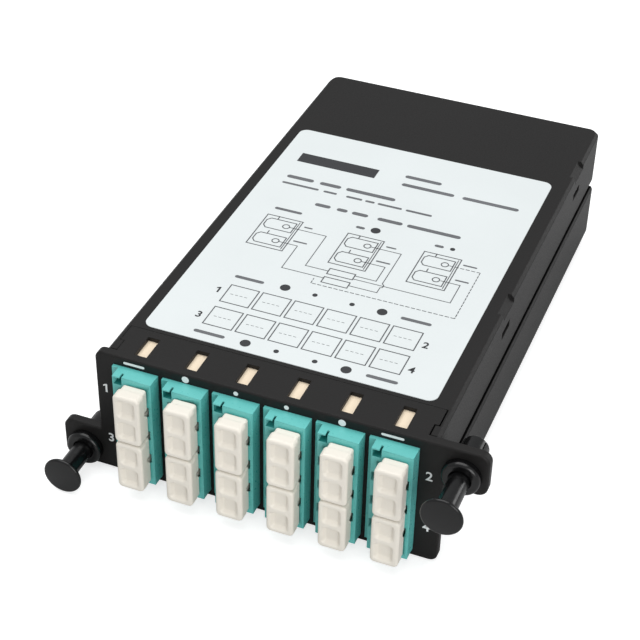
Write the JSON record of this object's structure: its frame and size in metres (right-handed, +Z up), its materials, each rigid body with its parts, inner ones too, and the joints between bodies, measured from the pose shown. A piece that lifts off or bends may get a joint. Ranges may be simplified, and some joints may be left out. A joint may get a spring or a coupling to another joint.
{
  "type": "fibre cassette",
  "caption": "Slim snap-together housing for fibre splices and splitters, with a face plate of duplex adapters, dust caps and push-pull fasteners.",
  "frame": {"origin": "middle of the whole object in plan, at the level of its flat underside", "axes": "+X to the right along the face plate seen from the front, +Y from the face plate to the rear of the housing, +Z up through the cover"},
  "size_m": [0.1, 0.1522, 0.0336],
  "materials": {
    "case_plastic": "fine moulded grain, matte",
    "label_film": "satin printed film",
    "adapter_plastic": "satin aqua",
    "clip_plastic": "satin cream",
    "cap_plastic": "satin ivory white",
    "fastener_plastic": "semi-gloss black nylon",
    "sleeve_ceramic": "polished zirconia",
    "plug_plastic": "satin aqua",
    "inner_plastic": "plain moulded",
    "splitter_steel": "bright drawn tube"
  },
  "bodies": {
    "housing": {"front_bezel": "case_plastic", "top_cover": "case_plastic", "base_tray": "case_plastic", "label": "label_film", "grommet_left": "fastener_plastic", "grommet_right": "fastener_plastic", "splitter_holder": "inner_plastic", "bend_guide_left": "inner_plastic", "bend_guide_right": "inner_plastic", "splitter_1": "splitter_steel", "splitter_2": "splitter_steel", "splitter_3": "splitter_steel", "splitter_4": "splitter_steel", "adapter_1": "adapter_plastic", "adapter_clip_1": "clip_plastic", "sleeves_1": "sleeve_ceramic", "rear_plugs_1": "plug_plastic", "adapter_2": "adapter_plastic", "adapter_clip_2": "clip_plastic", "sleeves_2": "sleeve_ceramic", "rear_plugs_2": "plug_plastic", "adapter_3": "adapter_plastic", "adapter_clip_3": "clip_plastic", "sleeves_3": "sleeve_ceramic", "rear_plugs_3": "plug_plastic", "adapter_4": "adapter_plastic", "adapter_clip_4": "clip_plastic", "sleeves_4": "sleeve_ceramic", "rear_plugs_4": "plug_plastic", "adapter_5": "adapter_plastic", "adapter_clip_5": "clip_plastic", "sleeves_5": "sleeve_ceramic", "rear_plugs_5": "plug_plastic", "adapter_6": "adapter_plastic", "adapter_clip_6": "clip_plastic", "sleeves_6": "sleeve_ceramic", "rear_plugs_6": "plug_plastic"},
    "dust_cap_1_upper": {"dust_cap_1_upper": "cap_plastic"},
    "dust_cap_1_lower": {"dust_cap_1_lower": "cap_plastic"},
    "dust_cap_2_upper": {"dust_cap_2_upper": "cap_plastic"},
    "dust_cap_2_lower": {"dust_cap_2_lower": "cap_plastic"},
    "dust_cap_3_upper": {"dust_cap_3_upper": "cap_plastic"},
    "dust_cap_3_lower": {"dust_cap_3_lower": "cap_plastic"},
    "dust_cap_4_upper": {"dust_cap_4_upper": "cap_plastic"},
    "dust_cap_4_lower": {"dust_cap_4_lower": "cap_plastic"},
    "dust_cap_5_upper": {"dust_cap_5_upper": "cap_plastic"},
    "dust_cap_5_lower": {"dust_cap_5_lower": "cap_plastic"},
    "dust_cap_6_upper": {"dust_cap_6_upper": "cap_plastic"},
    "dust_cap_6_lower": {"dust_cap_6_lower": "cap_plastic"},
    "plunger_left": {"plunger_left": "fastener_plastic"},
    "plunger_right": {"plunger_right": "fastener_plastic"}
  },
  "joints": [
    {"name": "dust_cap_1_upper_pull", "type": "slide", "parent": "housing", "child": "dust_cap_1_upper", "axis": [0, -1, 0], "range_m": [0, 0.012]},
    {"name": "dust_cap_1_lower_pull", "type": "slide", "parent": "housing", "child": "dust_cap_1_lower", "axis": [0, -1, 0], "range_m": [0, 0.012]},
    {"name": "dust_cap_2_upper_pull", "type": "slide", "parent": "housing", "child": "dust_cap_2_upper", "axis": [0, -1, 0], "range_m": [0, 0.012]},
    {"name": "dust_cap_2_lower_pull", "type": "slide", "parent": "housing", "child": "dust_cap_2_lower", "axis": [0, -1, 0], "range_m": [0, 0.012]},
    {"name": "dust_cap_3_upper_pull", "type": "slide", "parent": "housing", "child": "dust_cap_3_upper", "axis": [0, -1, 0], "range_m": [0, 0.012]},
    {"name": "dust_cap_3_lower_pull", "type": "slide", "parent": "housing", "child": "dust_cap_3_lower", "axis": [0, -1, 0], "range_m": [0, 0.012]},
    {"name": "dust_cap_4_upper_pull", "type": "slide", "parent": "housing", "child": "dust_cap_4_upper", "axis": [0, -1, 0], "range_m": [0, 0.012]},
    {"name": "dust_cap_4_lower_pull", "type": "slide", "parent": "housing", "child": "dust_cap_4_lower", "axis": [0, -1, 0], "range_m": [0, 0.012]},
    {"name": "dust_cap_5_upper_pull", "type": "slide", "parent": "housing", "child": "dust_cap_5_upper", "axis": [0, -1, 0], "range_m": [0, 0.012]},
    {"name": "dust_cap_5_lower_pull", "type": "slide", "parent": "housing", "child": "dust_cap_5_lower", "axis": [0, -1, 0], "range_m": [0, 0.012]},
    {"name": "dust_cap_6_upper_pull", "type": "slide", "parent": "housing", "child": "dust_cap_6_upper", "axis": [0, -1, 0], "range_m": [0, 0.012]},
    {"name": "dust_cap_6_lower_pull", "type": "slide", "parent": "housing", "child": "dust_cap_6_lower", "axis": [0, -1, 0], "range_m": [0, 0.012]},
    {"name": "plunger_left_push", "type": "slide", "parent": "housing", "child": "plunger_left", "axis": [0, 1, 0], "range_m": [-0.0021, 0.008]},
    {"name": "plunger_right_push", "type": "slide", "parent": "housing", "child": "plunger_right", "axis": [0, 1, 0], "range_m": [0, 0.0101]}
  ]
}
